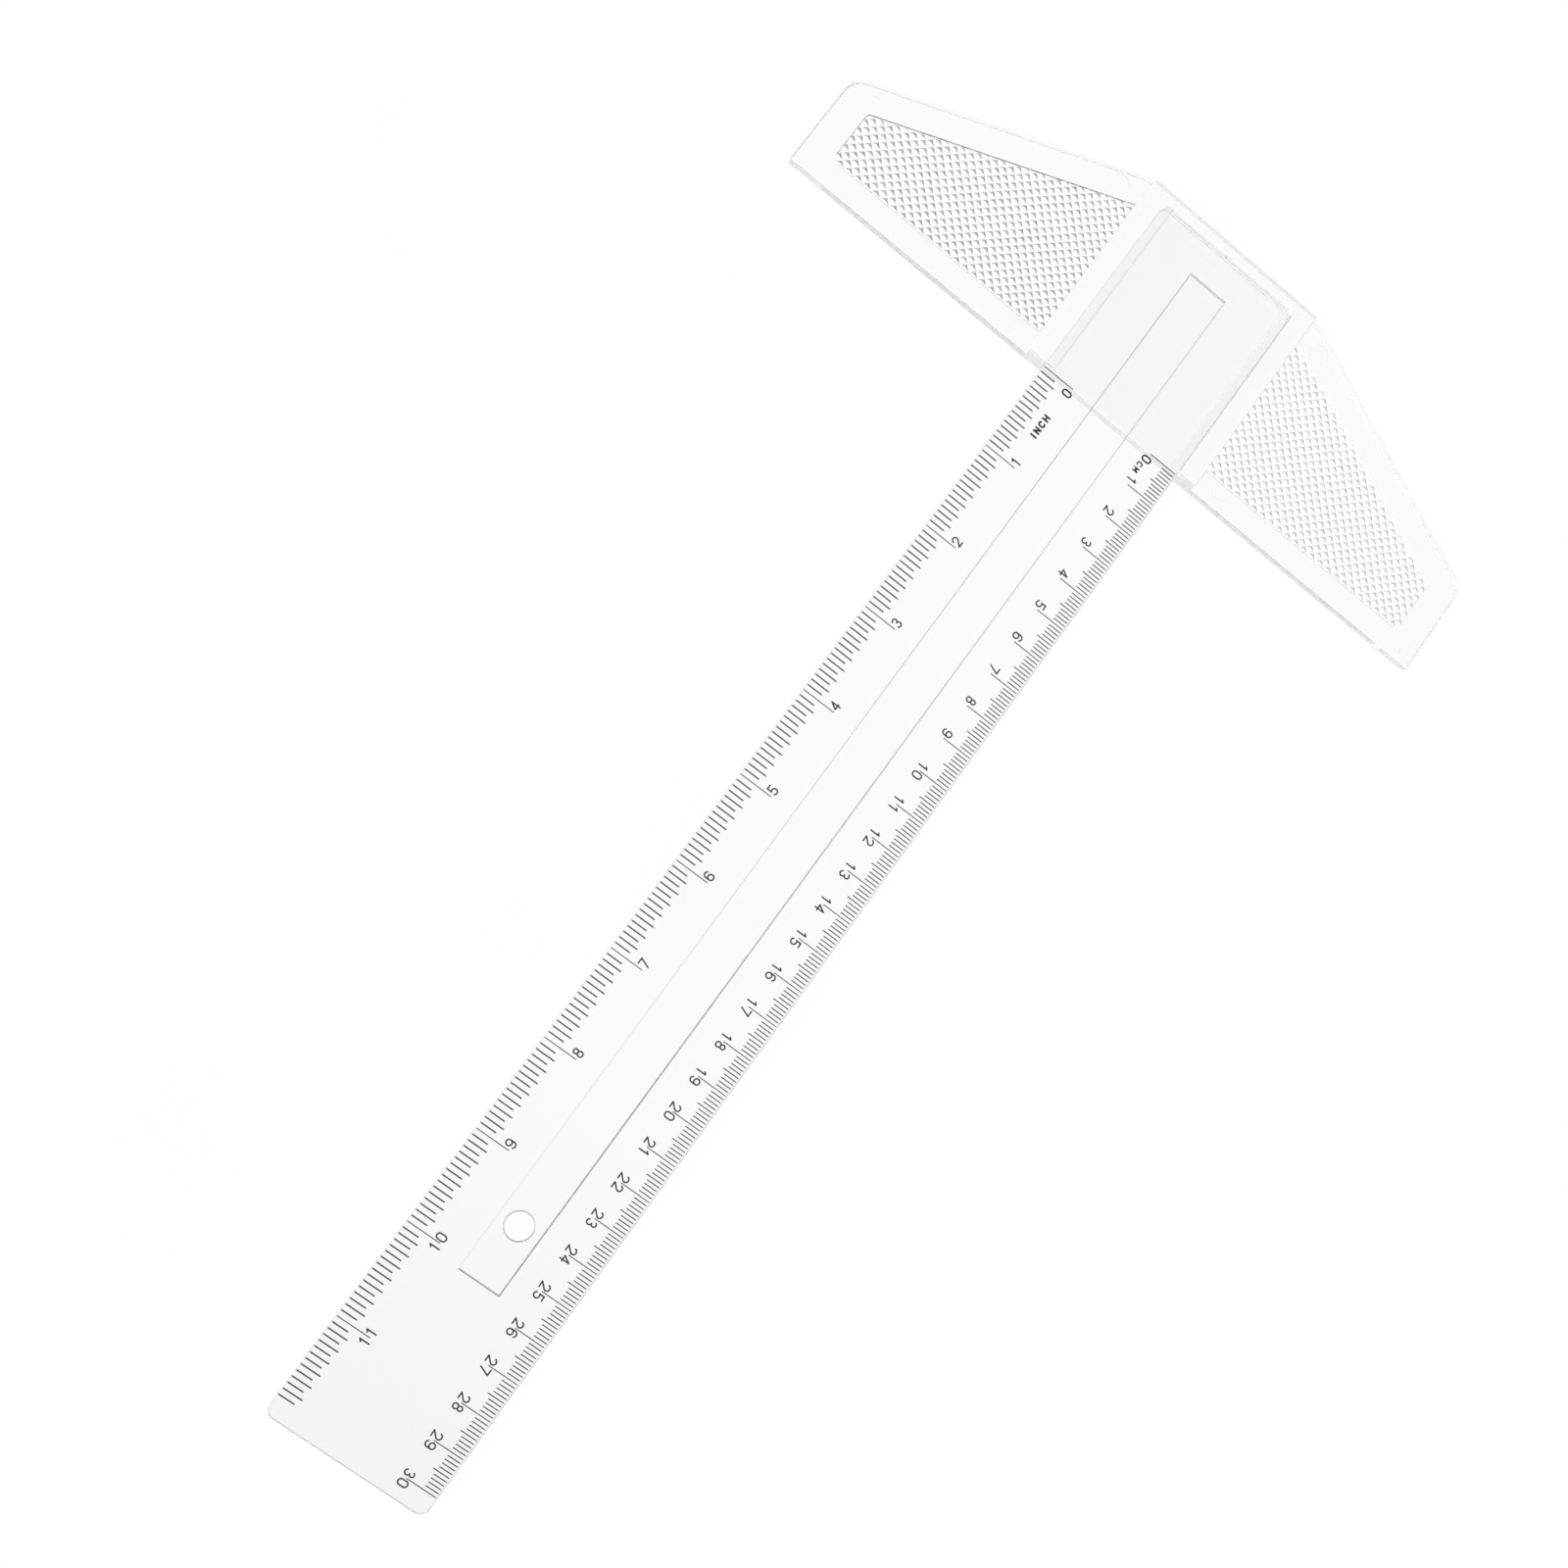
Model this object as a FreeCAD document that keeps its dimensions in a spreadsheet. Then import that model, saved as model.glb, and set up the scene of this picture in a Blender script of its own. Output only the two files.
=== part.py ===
"""Clear plastic T-square: a winged head with an open channel, and a ruler blade that slides into it.

The frame: the origin is the middle of the head's working edge, on the surface that the head lies on.
+X runs along the working edge towards the centimetre side, +Y from the working edge towards the head's
back, and +Z up. The blade points along -Y. Everything is in millimetres.
"""
import FreeCAD, Part
import math
import os
import Sketcher

# Driving dimensions: alias, value, meaning.
SIZES = [
    ("head_length", 199.0, "tip to tip, along the working edge"),
    ("head_depth", 56.9, "working edge to the flat back edge"),
    ("back_width", 56.8, "flat back edge, between the two slopes"),
    ("wing_end_depth", 26.6, "depth of a wing where its slope meets its end"),
    ("plate_thick", 2.8, "wings and the floor under the blade"),
    ("boss_thick", 6.2, "raised middle of the head, from the table"),
    ("boss_width", 53.2, "raised middle of the head, between its two steps"),
    ("wing_corner_radius", 5.5, "rounded outer back corners of the wings"),
    ("back_corner_radius", 8.0, "blend between the flat back and the slopes"),
    ("boss_edge_radius", 2.6, "top back edge of the raised middle"),
    ("channel_width", 42.7, "between the walls that guide the blade's edges"),
    ("channel_depth", 52.8, "working edge to the channel's closed end"),
    ("channel_height", 2.3, "floor to the underside of the lips"),
    ("channel_corner_radius", 2.0, "corners at the channel's closed end"),
    ("lip_overhang", 2.7, "how far each lip reaches over the blade"),
    ("panel_depth", 0.6, "sunk grip panel, below the wing's top"),
    ("panel_gap", 0.3, "grip panel to the step of the raised middle"),
    ("panel_margin_front", 6.5, "plain border along the working edge"),
    ("panel_margin_back", 8.5, "plain border along the slope, measured along Y"),
    ("panel_margin_end", 8.0, "plain border at the wing's end"),
    ("panel_corner_radius", 1.5, "outer back corner of the grip panel"),
    ("panel_chamfer", 1.5, "outer front corner of the grip panel"),
    ("pin_mark_diameter", 5.4, "marks of the large ejector pins, under the wings"),
    ("small_mark_diameter", 1.6, "marks of the small ejector pins, near the wing ends"),
    ("pin_mark_depth", 0.15, "how deep the ejector pins marked the plastic"),
    ("pin_mark_side", 33.2, "large marks, out from the middle"),
    ("pin_mark_front", 6.1, "front large marks, back from the working edge"),
    ("pin_mark_back", 51.3, "back large marks, back from the working edge"),
    ("left_small_mark_side", 92.4, "left small mark, out from the middle"),
    ("left_small_mark_back", 26.5, "left small mark, back from the working edge"),
    ("right_small_mark_side", 95.0, "right small mark, out from the middle"),
    ("right_small_mark_front", 2.9, "right small mark, back from the working edge"),
    ("gate_width", 1.6, "stub left by the moulding gate, along X"),
    ("gate_length", 0.8, "stub left by the moulding gate, beyond the back"),
    ("gate_root", 2.0, "how far the stub is carried into the head"),
    ("blade_width", 42.5, "across the two ruled edges"),
    ("blade_reach", 305.0, "working edge to the blade's free end"),
    ("blade_insert", 52.6, "part of the blade inside the channel"),
    ("blade_thick", 2.2, "blade"),
    ("blade_lift", 0.05, "running clearance under the blade"),
    ("blade_corner_radius", 2.5, "corners of both ends"),
    ("groove_width", 11.0, "sunk strip down the middle of the blade"),
    ("groove_depth", 0.8, "sunk strip, below the blade's top"),
    ("groove_start", 43.2, "strip's end inside the head, behind the working edge"),
    ("groove_reach", 256.0, "strip's far end, from the working edge"),
    ("hole_diameter", 6.8, "hanging hole in the sunk strip"),
    ("hole_reach", 241.0, "hanging hole's centre, from the working edge"),
    ("ink_thick", 0.04, "printed ink, on the underside of the blade"),
    ("tick_inset", 0.3, "outer ends of the graduations, in from the blade's edge"),
    ("tick_width", 0.27, "width of a short centimetre graduation"),
    ("inch_tick_width", 0.34, "width of a short inch graduation"),
    ("long_tick_width", 0.24, "width of a numbered graduation"),
    ("mm_tick", 3.5, "length of a millimetre graduation"),
    ("five_mm_tick", 4.4, "length of a five millimetre graduation"),
    ("cm_tick", 8.0, "length of a centimetre graduation"),
    ("sixteenth_tick", 4.2, "length of an odd sixteenth"),
    ("eighth_tick", 5.1, "length of an even sixteenth"),
    ("inch_tick", 8.9, "length of an inch graduation"),
    ("cm_numeral_inset", 6.9, "tops of the centimetre numerals, in from the edge"),
    ("inch_numeral_inset", 7.2, "tops of the inch numerals, in from the edge"),
    ("numeral_height", 2.8, "numerals"),
    ("numeral_width", 1.8, "numerals"),
    ("numeral_stroke", 0.38, "line width of the numerals"),
    ("zero_stroke", 0.46, "line width of the zeros at the working edge, set bolder"),
    ("numeral_offset", 1.5, "single numeral's centre, to the head side of its graduation"),
    ("zero_offset", 1.8, "zero's centre, to the far side of its graduation"),
    ("digit_pitch", 2.5, "from digit to digit in a two-digit numeral"),
    ("inch_legend_start", 16.0, "legend of the inch scale, far end"),
    ("inch_legend_height", 2.0, "capitals of the inch legend"),
    ("inch_legend_stroke", 0.5, "line width of the inch legend"),
    ("inch_legend_pitch", 1.95, "from letter to letter in the inch legend"),
    ("cm_legend_start", 3.9, "legend of the centimetre scale, head end"),
    ("cm_legend_inset", 8.1, "tops of the centimetre legend, in from the edge"),
    ("cm_legend_height", 1.7, "capitals of the centimetre legend"),
    ("cm_legend_stroke", 0.38, "line width of the centimetre legend"),
    ("cm_legend_pitch", 1.75, "from letter to letter in the centimetre legend"),
]

INCH = 25.4
METRIC_LENGTH = 300          # millimetres ruled
SIXTEENTHS = 11 * 16 + 13    # sixteenths of an inch ruled

doc = FreeCAD.newDocument("t_square")
sheet = doc.addObject("Spreadsheet::Sheet", "Size")
for row, (alias, number, meaning) in enumerate(SIZES, 1):
    sheet.set("A%d" % row, meaning)
    sheet.set("B%d" % row, str(number))
    sheet.setAlias("B%d" % row, alias)
doc.recompute()


def value(expression):
    """Number, in millimetres, that an expression over the sheet's cells stands for."""
    return float(sheet.evalExpression(expression))


# ---------------------------------------------------------------- sketches and features

def new_body(label):
    body = doc.addObject("PartDesign::Body", label)
    body.Label = label
    return body


def new_sketch(body, name, level):
    """Sketch parallel to the body's base plane, at a height given by an expression."""
    plane = [item for item in body.Origin.OriginFeatures if item.Role == "XY_Plane"][0]
    sketch = body.newObject("Sketcher::SketchObject", name)
    sketch.AttachmentSupport = [(plane, "")]
    sketch.MapMode = "FlatFace"
    sketch.setExpression(".AttachmentOffset.Base.z", level)
    return sketch


def hold_point(sketch, geometry, point, x, y):
    """Bind a point of the sketch to two expressions, its distances from the origin."""
    for kind, axis, expression in (("DistanceX", -2, x), ("DistanceY", -1, y)):
        if value(expression) == 0:
            sketch.addConstraint(Sketcher.Constraint("PointOnObject", geometry, point, axis))
            continue
        rule = Sketcher.Constraint(kind, -1, 1, geometry, point, value(expression))
        index = sketch.addConstraint(rule)
        sketch.setExpression("Constraints[%d]" % index, expression)


def outline(body, name, corners, level="0 mm"):
    """Closed outline of straight sides through corners, each a pair of expressions."""
    sketch = new_sketch(body, name, level)
    points = [FreeCAD.Vector(value(x), value(y), 0) for x, y in corners]
    count = len(points)
    for index in range(count):
        side = Part.LineSegment(points[index], points[(index + 1) % count])
        sketch.addGeometry(side, False)
    for index in range(count):
        joint = Sketcher.Constraint("Coincident", index, 2, (index + 1) % count, 1)
        sketch.addConstraint(joint)
    for index, (x, y) in enumerate(corners):
        hold_point(sketch, index, 1, x, y)
    return sketch


def circles(body, name, centres, diameter, level="0 mm"):
    """Circles of one diameter about centres, each a pair of expressions."""
    sketch = new_sketch(body, name, level)
    up = FreeCAD.Vector(0, 0, 1)
    for index, (x, y) in enumerate(centres):
        centre = FreeCAD.Vector(value(x), value(y), 0)
        sketch.addGeometry(Part.Circle(centre, up, value(diameter) / 2), False)
        hold_point(sketch, index, 3, x, y)
        rule = Sketcher.Constraint("Diameter", index, value(diameter))
        sketch.setExpression("Constraints[%d]" % sketch.addConstraint(rule), diameter)
    return sketch


def both_sides(right_half):
    """Outline that mirrors the corners of its right half, listed from front to back."""
    left_half = [("-(%s)" % x, y) for x, y in reversed(right_half)]
    return right_half + left_half


def pad(body, name, profile, length):
    feature = body.newObject("PartDesign::Pad", name)
    feature.Profile = profile
    feature.setExpression("Length", length)
    profile.Visibility = False
    doc.recompute()
    return feature


def pocket(body, name, profile, length, upward=False):
    """Cut that must take material away, down from its sketch or up."""
    before = body.Shape.Volume
    feature = body.newObject("PartDesign::Pocket", name)
    feature.Profile = profile
    feature.Reversed = upward
    feature.setExpression("Length", length)
    profile.Visibility = False
    doc.recompute()
    if body.Shape.Volume > before - 0.01:
        raise RuntimeError("%s cuts nothing" % name)
    return feature


def dress(body, kind, name, edges, measure, expression):
    """Fillet or chamfer on the named edges of the body's last feature."""
    base = body.Tip
    feature = body.newObject("PartDesign::" + kind, name)
    feature.Base = (base, edges)
    feature.setExpression(measure, expression)
    doc.recompute()
    return feature


def edges_where(body, chosen):
    """Names of the straight edges whose two ends pass a test."""
    names = []
    for index, edge in enumerate(body.Shape.Edges, 1):
        ends = [vertex.Point for vertex in edge.Vertexes]
        if len(ends) == 2 and chosen(*ends):
            names.append("Edge%d" % index)
    return names


def upright_at(x, y):
    """Test for an upright edge at plan position (x, y) or its mirror image (-x, y)."""
    def chosen(start, end):
        upright = math.hypot(start.x - end.x, start.y - end.y) < 0.001
        return upright and abs(abs(start.x) - x) < 0.01 and abs(start.y - y) < 0.01
    return chosen


# ---------------------------------------------------------------- head

HALF_HEAD = "Size.head_length / 2"
HALF_BOSS = "Size.boss_width / 2"
HALF_BACK = "Size.back_width / 2"
SLOPE = "(Size.head_depth - Size.wing_end_depth) / (Size.head_length / 2 - Size.back_width / 2)"
PANEL_INNER = HALF_BOSS + " + Size.panel_gap"
PANEL_OUTER = HALF_HEAD + " - Size.panel_margin_end"


def panel_back(x):
    """Y of the grip panel's back border, which runs parallel to the wing's slope."""
    return "Size.head_depth - Size.panel_margin_back - (%s - %s) * %s" % (x, HALF_BACK, SLOPE)


def make_head():
    body = new_body("head")

    plan = both_sides([
        (HALF_HEAD, "0"),
        (HALF_HEAD, "Size.wing_end_depth"),
        (HALF_BACK, "Size.head_depth"),
    ])
    pad(body, "wing_plate", outline(body, "wing_plan", plan), "Size.plate_thick")
    corners = edges_where(body, upright_at(value(HALF_HEAD), value("Size.wing_end_depth")))
    dress(body, "Fillet", "wing_corners", corners, "Radius", "Size.wing_corner_radius")
    corners = edges_where(body, upright_at(value(HALF_BACK), value("Size.head_depth")))
    dress(body, "Fillet", "back_corners", corners, "Radius", "Size.back_corner_radius")

    raised = both_sides([(HALF_BOSS, "0"), (HALF_BOSS, "Size.head_depth")])
    pad(body, "raised_middle", outline(body, "raised_plan", raised), "Size.boss_thick")
    back_edge = edges_where(body, along_top_back)
    dress(body, "Fillet", "back_edge", back_edge, "Radius", "Size.boss_edge_radius")

    wall = "Size.channel_width / 2"
    between_walls = both_sides([(wall, "-1"), (wall, "Size.channel_depth")])
    channel = outline(body, "channel_plan", between_walls, "Size.plate_thick")
    pocket(body, "channel", channel, "Size.channel_height", upward=True)
    corners = edges_where(body, upright_at(value(wall), value("Size.channel_depth")))
    dress(body, "Fillet", "channel_corners", corners, "Radius", "Size.channel_corner_radius")

    lip = wall + " - Size.lip_overhang"
    between_lips = both_sides([(lip, "-1"), (lip, "Size.channel_depth")])
    opening = outline(body, "opening_plan", between_lips, "Size.boss_thick")
    pocket(body, "opening", opening, "Size.boss_thick - Size.plate_thick - Size.channel_height")

    for side, sign in (("right", ""), ("left", "-")):
        panel = [
            (PANEL_INNER, "Size.panel_margin_front"),
            (PANEL_OUTER + " - Size.panel_chamfer", "Size.panel_margin_front"),
            (PANEL_OUTER, "Size.panel_margin_front + Size.panel_chamfer"),
            (PANEL_OUTER, panel_back(PANEL_OUTER)),
            (PANEL_INNER, panel_back(PANEL_INNER)),
        ]
        corners = [("%s(%s)" % (sign, x), y) for x, y in panel]
        profile = outline(body, side + "_panel_plan", corners, "Size.plate_thick")
        pocket(body, side + "_panel", profile, "Size.panel_depth")
    corners = edges_where(body, upright_at(value(PANEL_OUTER), value(panel_back(PANEL_OUTER))))
    dress(body, "Fillet", "panel_corners", corners, "Radius", "Size.panel_corner_radius")

    far = "Size.pin_mark_side"
    front = "Size.pin_mark_front"
    back = "Size.pin_mark_back"
    large = [(far, front), (far, back), ("-" + far, front), ("-" + far, back)]
    marks = circles(body, "pin_plan", large, "Size.pin_mark_diameter")
    pocket(body, "pin_marks", marks, "Size.pin_mark_depth", upward=True)
    small = [("-Size.left_small_mark_side", "Size.left_small_mark_back"),
             ("Size.right_small_mark_side", "Size.right_small_mark_front")]
    marks = circles(body, "small_pin_plan", small, "Size.small_mark_diameter")
    pocket(body, "small_pin_marks", marks, "Size.pin_mark_depth", upward=True)

    stub = both_sides([
        ("Size.gate_width / 2", "Size.head_depth - Size.gate_root"),
        ("Size.gate_width / 2", "Size.head_depth + Size.gate_length"),
    ])
    pad(body, "gate_stub", outline(body, "stub_plan", stub), "Size.plate_thick")
    return body


def along_top_back(start, end):
    """Test for the top back edge of the raised middle."""
    top = value("Size.boss_thick")
    on_top = abs(start.z - top) < 0.001 and abs(end.z - top) < 0.001
    return on_top and min(start.y, end.y) > value("Size.head_depth") - 0.001


# ---------------------------------------------------------------- blade

BLADE_BOTTOM = "Size.plate_thick + Size.blade_lift"
BLADE_TOP = BLADE_BOTTOM + " + Size.blade_thick"


def make_blade():
    body = new_body("blade")
    edge = "Size.blade_width / 2"
    plan = both_sides([(edge, "-Size.blade_reach"), (edge, "Size.blade_insert")])
    pad(body, "strip", outline(body, "blade_plan", plan, BLADE_BOTTOM), "Size.blade_thick")
    corners = edges_where(body, upright_at(value(edge), -value("Size.blade_reach")))
    corners += edges_where(body, upright_at(value(edge), value("Size.blade_insert")))
    dress(body, "Fillet", "end_corners", corners, "Radius", "Size.blade_corner_radius")

    half_groove = "Size.groove_width / 2"
    groove = both_sides([(half_groove, "-Size.groove_reach"), (half_groove, "Size.groove_start")])
    pocket(body, "groove", outline(body, "groove_plan", groove, BLADE_TOP), "Size.groove_depth")

    hole = circles(body, "hole_plan", [("0", "-Size.hole_reach")], "Size.hole_diameter", BLADE_TOP)
    pocket(body, "hanging_hole", hole, "Size.blade_thick")
    return body


# ---------------------------------------------------------------- printed ink

INK_TOP = value(BLADE_BOTTOM)
INK_THICK = value("Size.ink_thick")
INK_BOTTOM = INK_TOP - INK_THICK
THIN_LETTER = 0.87           # share of the pitch after a letter that is one upright


def bar(start, end, width):
    """Flat bar of ink between two points, with square ends."""
    run = end - start
    box = Part.makeBox(run.Length, width, INK_THICK, FreeCAD.Vector(0, -width / 2, 0))
    turn = FreeCAD.Rotation(FreeCAD.Vector(0, 0, 1), math.degrees(math.atan2(run.y, run.x)))
    box.Placement = FreeCAD.Placement(start, turn)
    return box


def dot(centre, width):
    """Round end of a pen stroke."""
    return Part.makeCylinder(width / 2, INK_THICK, centre)


def bow(centre, radius, start, end, width):
    """Arc of ink from one angle to another, counter-clockwise, in degrees."""
    turn = FreeCAD.Vector(0, 0, 1)
    outer = Part.makeCylinder(radius + width / 2, INK_THICK, centre, turn, end - start)
    inner = Part.makeCylinder(radius - width / 2, INK_THICK, centre, turn)
    ring = outer.cut(inner)
    ring.rotate(centre, turn, start)
    return ring


def pen_strokes(character, wide, high):
    """Pen strokes of a character, whose middle line fills a box wide by high.

    A stroke is ("line", x0, y0, x1, y1) or ("arc", x, y, radius, start angle, end angle).
    """
    round_r = wide / 2
    top = high - round_r
    upper_r = high * 0.235
    lower_r = high / 2 - upper_r
    table = {
        "0": [("arc", round_r, top, round_r, 0, 180), ("arc", round_r, round_r, round_r, 180, 360),
              ("line", 0, round_r, 0, top), ("line", wide, round_r, wide, top)],
        "1": [("line", round_r, 0, round_r, high), ("line", round_r, high, wide * 0.15, high * 0.8)],
        "2": [("arc", round_r, top, round_r, -30, 170),
              ("line", round_r * 1.866, top - round_r / 2, 0, 0), ("line", 0, 0, wide, 0)],
        "3": [("arc", round_r, high - upper_r, upper_r, -90, 155),
              ("arc", round_r, lower_r, lower_r, -155, 90)],
        "4": [("line", wide * 0.72, 0, wide * 0.72, high), ("line", wide * 0.72, high, 0, high * 0.3),
              ("line", 0, high * 0.3, wide, high * 0.3)],
        "5": [("line", wide * 0.92, high, round_r * 0.29, high),
              ("line", round_r * 0.29, high, round_r * 0.29, round_r * 1.707),
              ("arc", round_r, round_r, round_r, -150, 135)],
        "6": [("arc", round_r, round_r, round_r, 0, 360), ("line", 0, round_r, 0, top),
              ("arc", round_r, top, round_r, 30, 180)],
        "7": [("line", 0, high, wide, high), ("line", wide, high, wide * 0.35, 0)],
        "8": [("arc", round_r, high - upper_r, upper_r, 0, 360),
              ("arc", round_r, lower_r, lower_r, 0, 360)],
        "9": [("arc", round_r, top, round_r, 0, 360), ("line", wide, round_r, wide, top),
              ("arc", round_r, round_r, round_r, -150, 0)],
        "C": [("arc", round_r, top, round_r, 30, 180), ("line", 0, round_r, 0, top),
              ("arc", round_r, round_r, round_r, 180, 330)],
        "H": [("line", 0, 0, 0, high), ("line", wide, 0, wide, high),
              ("line", 0, high / 2, wide, high / 2)],
        "I": [("line", round_r, 0, round_r, high)],
        "M": [("line", 0, 0, 0, high), ("line", wide, 0, wide, high),
              ("line", 0, high, round_r, high * 0.35), ("line", round_r, high * 0.35, wide, high)],
        "N": [("line", 0, 0, 0, high), ("line", 0, high, wide, 0), ("line", wide, 0, wide, high)],
    }
    return table[character]


def glyph(character, width, height, stroke):
    """One printed character as a flat solid, centred on X and standing on Y = 0."""
    shapes = []
    half = stroke / 2
    corner = FreeCAD.Vector(half - width / 2, half, 0)
    for kind, *numbers in pen_strokes(character, width - stroke, height - stroke):
        if kind == "line":
            start = corner + FreeCAD.Vector(numbers[0], numbers[1], 0)
            end = corner + FreeCAD.Vector(numbers[2], numbers[3], 0)
            shapes += [bar(start, end, stroke), dot(start, stroke), dot(end, stroke)]
            continue
        x, y, radius, first, last = numbers
        centre = corner + FreeCAD.Vector(x, y, 0)
        shapes.append(bow(centre, radius, first, last, stroke))
        for angle in (first, last) if last - first < 360 else ():
            turn = math.radians(angle)
            tip = FreeCAD.Vector(radius * math.cos(turn), radius * math.sin(turn), 0)
            shapes.append(dot(centre + tip, stroke))
    return shapes[0].multiFuse(shapes[1:]).removeSplitter()


def print_text(text, x, y, pitch, downward, width, height, stroke):
    """Characters of a text, centred at (x, y), which is the middle of its foot.

    Downward text reads along -Y with its tops towards +X; other text reads along +Y, tops to -X.
    """
    turn = FreeCAD.Rotation(FreeCAD.Vector(0, 0, 1), -90 if downward else 90)
    steps = [pitch * (THIN_LETTER if character == "I" else 1) for character in text[:-1]]
    along = FreeCAD.Vector(0, -1 if downward else 1, 0)
    place = FreeCAD.Vector(x, y, INK_BOTTOM) - along * (sum(steps) / 2)
    shapes = []
    for character, step in zip(text, steps + [0]):
        shape = glyph(character, width, height, stroke).copy()
        shape.Placement = FreeCAD.Placement(place, turn)
        shapes.append(shape)
        place = place + along * step
    return shapes


def ruled_edge(side, marks):
    """Graduations on one edge: side is +1 for X > 0; marks are (reach, length, width)."""
    edge = side * (value("Size.blade_width / 2 - Size.tick_inset"))
    shapes = []
    for reach, length, width in marks:
        start = FreeCAD.Vector(edge, -reach, INK_BOTTOM)
        shapes.append(bar(start, start - FreeCAD.Vector(side * length, 0, 0), width))
    return shapes


def metric_marks():
    short, five, ten = (value("Size." + name) for name in ("mm_tick", "five_mm_tick", "cm_tick"))
    for millimetre in range(METRIC_LENGTH + 1):
        if millimetre % 10 == 0:
            yield millimetre, ten, value("Size.long_tick_width")
        else:
            yield millimetre, five if millimetre % 5 == 0 else short, value("Size.tick_width")


def inch_marks():
    for sixteenth in range(SIXTEENTHS + 1):
        reach = sixteenth * INCH / 16
        if sixteenth % 16 == 0:
            yield reach, value("Size.inch_tick"), value("Size.long_tick_width")
        else:
            length = "Size.eighth_tick" if sixteenth % 2 == 0 else "Size.sixteenth_tick"
            yield reach, value(length), value("Size.inch_tick_width")


def numerals(last, spacing, foot, downward):
    """Numerals 0 to last beside their graduations; two-digit numerals straddle theirs."""
    box = [value("Size.numeral_" + name) for name in ("width", "height")]
    shapes = []
    for number in range(last + 1):
        y = -number * spacing
        if number == 0:
            y -= value("Size.zero_offset")
        elif number < 10:
            y += value("Size.numeral_offset")
        pitch = value("Size.digit_pitch")
        stroke = value("Size.numeral_stroke" if number else "Size.zero_stroke")
        shapes += print_text(str(number), foot, y, pitch, downward, *box, stroke)
    return shapes


def legend(text, foot, start, downward, name):
    """Unit's name, set small beside its scale; start is its end nearer to the first letter."""
    height, stroke, pitch = (value("Size.%s_legend_%s" % (name, part))
                             for part in ("height", "stroke", "pitch"))
    along = pitch * (len(text) - 1) / 2
    y = -start - along if downward else -start + along
    return print_text(text, foot, y, pitch, downward, height * 0.75, height, stroke)


def make_print(label, shapes):
    """Sub-part of ink: its marks are separate flat solids on one surface."""
    feature = doc.addObject("Part::Feature", label)
    feature.Label = label
    feature.Shape = Part.makeCompound(shapes)
    feature.Placement = FreeCAD.Placement()
    return feature


def make_scales():
    half_blade = value("Size.blade_width / 2")
    cm_foot = half_blade - value("Size.cm_numeral_inset + Size.numeral_height")
    inch_foot = value("Size.inch_numeral_inset + Size.numeral_height") - half_blade
    cm_legend_foot = half_blade - value("Size.cm_legend_inset + Size.cm_legend_height")
    inch_legend_foot = value("Size.inch_numeral_inset + Size.inch_legend_height") - half_blade
    last_inch = SIXTEENTHS // 16
    return [
        make_print("metric_graduations", ruled_edge(1, metric_marks())),
        make_print("metric_numerals", numerals(METRIC_LENGTH // 10, 10, cm_foot, True)),
        make_print("metric_legend",
                   legend("CM", cm_legend_foot, value("Size.cm_legend_start"), True, "cm")),
        make_print("inch_graduations", ruled_edge(-1, inch_marks())),
        make_print("inch_numerals", numerals(last_inch, INCH, inch_foot, False)),
        make_print("inch_legend",
                   legend("INCH", inch_legend_foot, value("Size.inch_legend_start"), False, "inch")),
    ]


# ---------------------------------------------------------------- build and write

subparts = [make_head(), make_blade()] + make_scales()
doc.recompute()
for item in doc.Objects:
    if "Invalid" in item.State or "Error" in item.State:
        raise RuntimeError("%s failed: %s" % (item.Label, item.State))
for subpart in subparts:
    if subpart.Shape.isNull() or not subpart.Shape.isValid():
        raise RuntimeError("%s has no valid shape" % subpart.Label)

os.makedirs("parts", exist_ok=True)
for subpart in subparts:
    subpart.Shape.exportStep("parts/%s.step" % subpart.Label)
    box = subpart.Shape.BoundBox
    print("%-20s %4d solids  %9.1f mm3  x %.2f..%.2f  y %.2f..%.2f  z %.2f..%.2f" % (
        subpart.Label, len(subpart.Shape.Solids), subpart.Shape.Volume,
        box.XMin, box.XMax, box.YMin, box.YMax, box.ZMin, box.ZMax))
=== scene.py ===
"""Looks of the clear plastic T-square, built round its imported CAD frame. Lengths are in metres."""
import math

import bmesh
import bpy
from mathutils import Matrix, Vector


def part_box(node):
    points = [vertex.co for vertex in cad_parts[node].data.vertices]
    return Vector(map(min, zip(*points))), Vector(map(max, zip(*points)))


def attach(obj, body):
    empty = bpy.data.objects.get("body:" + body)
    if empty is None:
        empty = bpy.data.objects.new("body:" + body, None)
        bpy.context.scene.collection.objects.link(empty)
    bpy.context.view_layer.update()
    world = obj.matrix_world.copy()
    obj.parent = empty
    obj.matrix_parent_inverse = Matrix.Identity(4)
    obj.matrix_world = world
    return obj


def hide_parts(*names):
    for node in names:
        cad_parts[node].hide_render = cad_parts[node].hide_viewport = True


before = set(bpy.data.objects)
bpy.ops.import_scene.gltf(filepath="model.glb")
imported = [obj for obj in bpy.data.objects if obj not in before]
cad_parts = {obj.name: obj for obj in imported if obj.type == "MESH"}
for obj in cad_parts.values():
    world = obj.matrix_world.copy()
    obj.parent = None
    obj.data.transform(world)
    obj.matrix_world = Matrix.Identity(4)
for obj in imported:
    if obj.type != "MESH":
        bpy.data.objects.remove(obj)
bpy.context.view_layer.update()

MM = 0.001

# ---------------------------------------------------------------- sizes

BLADE_LOW, BLADE_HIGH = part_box("blade")
HALF_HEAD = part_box("head")[1].x

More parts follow.
